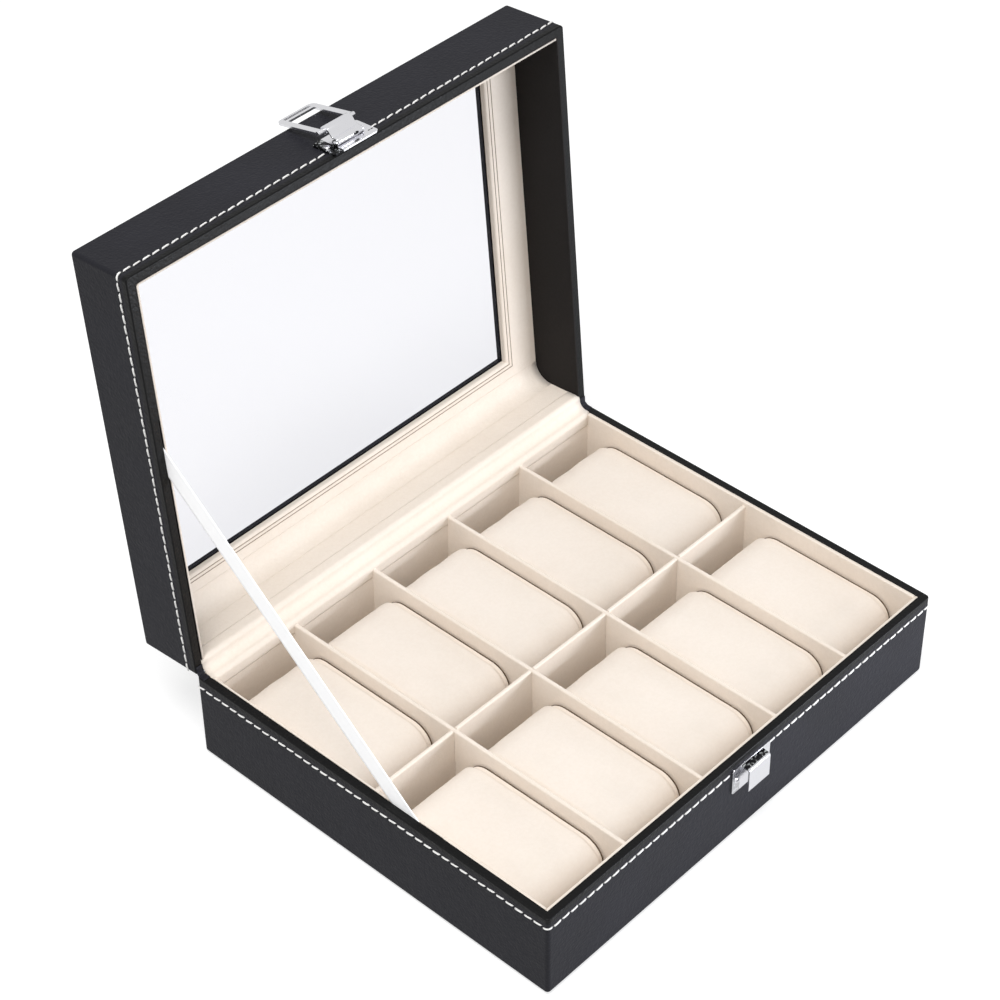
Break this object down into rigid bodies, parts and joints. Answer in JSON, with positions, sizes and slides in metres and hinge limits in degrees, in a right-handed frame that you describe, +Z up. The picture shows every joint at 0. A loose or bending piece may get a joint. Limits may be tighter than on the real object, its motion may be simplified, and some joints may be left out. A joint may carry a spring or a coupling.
{
  "type": "watch box",
  "caption": "Leather-covered watch box with a clear window in its hinged lid, velvet slots with removable pillows, a ribbon stay and a draw latch.",
  "frame": {"origin": "centre of the underside, on the surface that the box stands on", "axes": "+X along the hinge to the right seen from the front, -Y towards the latch, +Z up; the lid is stored open, as in the picture"},
  "size_m": [0.255, 0.265, 0.257],
  "materials": {
    "leatherette": "black, fine pebble grain, satin",
    "velvet": "ivory velvet, short pile",
    "fibreboard": "raw fibreboard, hidden under the covering",
    "underside_felt": "black flocked sheet",
    "pane": "clear, polished",
    "ribbon": "white satin ribbon",
    "foam": "open foam, hidden in the pillow's cover",
    "bright_steel": "bright plated"
  },
  "bodies": {
    "case": {"base_floor": "fibreboard", "base_wall_front": "fibreboard", "base_wall_back": "fibreboard", "base_wall_left": "fibreboard", "base_wall_right": "fibreboard", "base_wrap": "leatherette", "base_underside_sheet": "underside_felt", "base_lining_floor": "velvet", "base_lining_front": "velvet", "base_lining_left": "velvet", "base_lining_right": "velvet", "base_lining_back": "velvet", "divider_long": "velvet", "divider_cross_1": "velvet", "divider_cross_2": "velvet", "divider_cross_3": "velvet", "divider_cross_4": "velvet", "catch_plate": "bright_steel", "catch_nails": "bright_steel", "hinge_spine": "leatherette", "ribbon_stay": "ribbon"},
    "lid": {"lid_wall_front": "fibreboard", "lid_wall_back": "fibreboard", "lid_wall_left": "fibreboard", "lid_wall_right": "fibreboard", "lid_roof_board": "fibreboard", "lid_wrap": "leatherette", "lid_window_pane": "pane", "lid_inner_frame": "velvet", "lid_facing_front": "leatherette", "lid_facing_left": "leatherette", "lid_facing_right": "leatherette", "lid_lining_back": "velvet", "latch_plate": "bright_steel", "latch_pin": "bright_steel", "latch_nails": "bright_steel"},
    "latch_lever": {"latch_lever": "bright_steel"},
    "latch_loop": {"latch_loop": "bright_steel"},
    "pillow_1": {"pillow_cover_1": "velvet", "pillow_core_1": "foam"},
    "pillow_2": {"pillow_cover_2": "velvet", "pillow_core_2": "foam"},
    "pillow_3": {"pillow_cover_3": "velvet", "pillow_core_3": "foam"},
    "pillow_4": {"pillow_cover_4": "velvet", "pillow_core_4": "foam"},
    "pillow_5": {"pillow_cover_5": "velvet", "pillow_core_5": "foam"},
    "pillow_6": {"pillow_cover_6": "velvet", "pillow_core_6": "foam"},
    "pillow_7": {"pillow_cover_7": "velvet", "pillow_core_7": "foam"},
    "pillow_8": {"pillow_cover_8": "velvet", "pillow_core_8": "foam"},
    "pillow_9": {"pillow_cover_9": "velvet", "pillow_core_9": "foam"},
    "pillow_10": {"pillow_cover_10": "velvet", "pillow_core_10": "foam"}
  },
  "joints": [
    {"name": "lid_hinge", "type": "hinge", "parent": "case", "child": "lid", "pos_m": [0, 0.1025, 0.0462], "axis": [-1, 0, 0], "range_deg": [-94.5, 0], "deforming": ["ribbon_stay", "hinge_spine"]},
    {"name": "latch_lever_pivot", "type": "hinge", "parent": "lid", "child": "latch_lever", "pos_m": [0, 0.12417, 0.25274], "axis": [1, 0, 0], "range_deg": [0, 100]},
    {"name": "latch_loop_pivot", "type": "hinge", "parent": "latch_lever", "child": "latch_loop", "pos_m": [0, 0.13158, 0.25506], "axis": [-1, 0, 0], "range_deg": [-194, 0]},
    {"name": "pillow_1_lift", "type": "slide", "parent": "case", "child": "pillow_1", "axis": [0, 0, 1], "range_m": [0, 0.06]},
    {"name": "pillow_2_lift", "type": "slide", "parent": "case", "child": "pillow_2", "axis": [0, 0, 1], "range_m": [0, 0.06]},
    {"name": "pillow_3_lift", "type": "slide", "parent": "case", "child": "pillow_3", "axis": [0, 0, 1], "range_m": [0, 0.06]},
    {"name": "pillow_4_lift", "type": "slide", "parent": "case", "child": "pillow_4", "axis": [0, 0, 1], "range_m": [0, 0.06]},
    {"name": "pillow_5_lift", "type": "slide", "parent": "case", "child": "pillow_5", "axis": [0, 0, 1], "range_m": [0, 0.06]},
    {"name": "pillow_6_lift", "type": "slide", "parent": "case", "child": "pillow_6", "axis": [0, 0, 1], "range_m": [0, 0.06]},
    {"name": "pillow_7_lift", "type": "slide", "parent": "case", "child": "pillow_7", "axis": [0, 0, 1], "range_m": [0, 0.06]},
    {"name": "pillow_8_lift", "type": "slide", "parent": "case", "child": "pillow_8", "axis": [0, 0, 1], "range_m": [0, 0.06]},
    {"name": "pillow_9_lift", "type": "slide", "parent": "case", "child": "pillow_9", "axis": [0, 0, 1], "range_m": [0, 0.06]},
    {"name": "pillow_10_lift", "type": "slide", "parent": "case", "child": "pillow_10", "axis": [0, 0, 1], "range_m": [0, 0.06]}
  ]
}
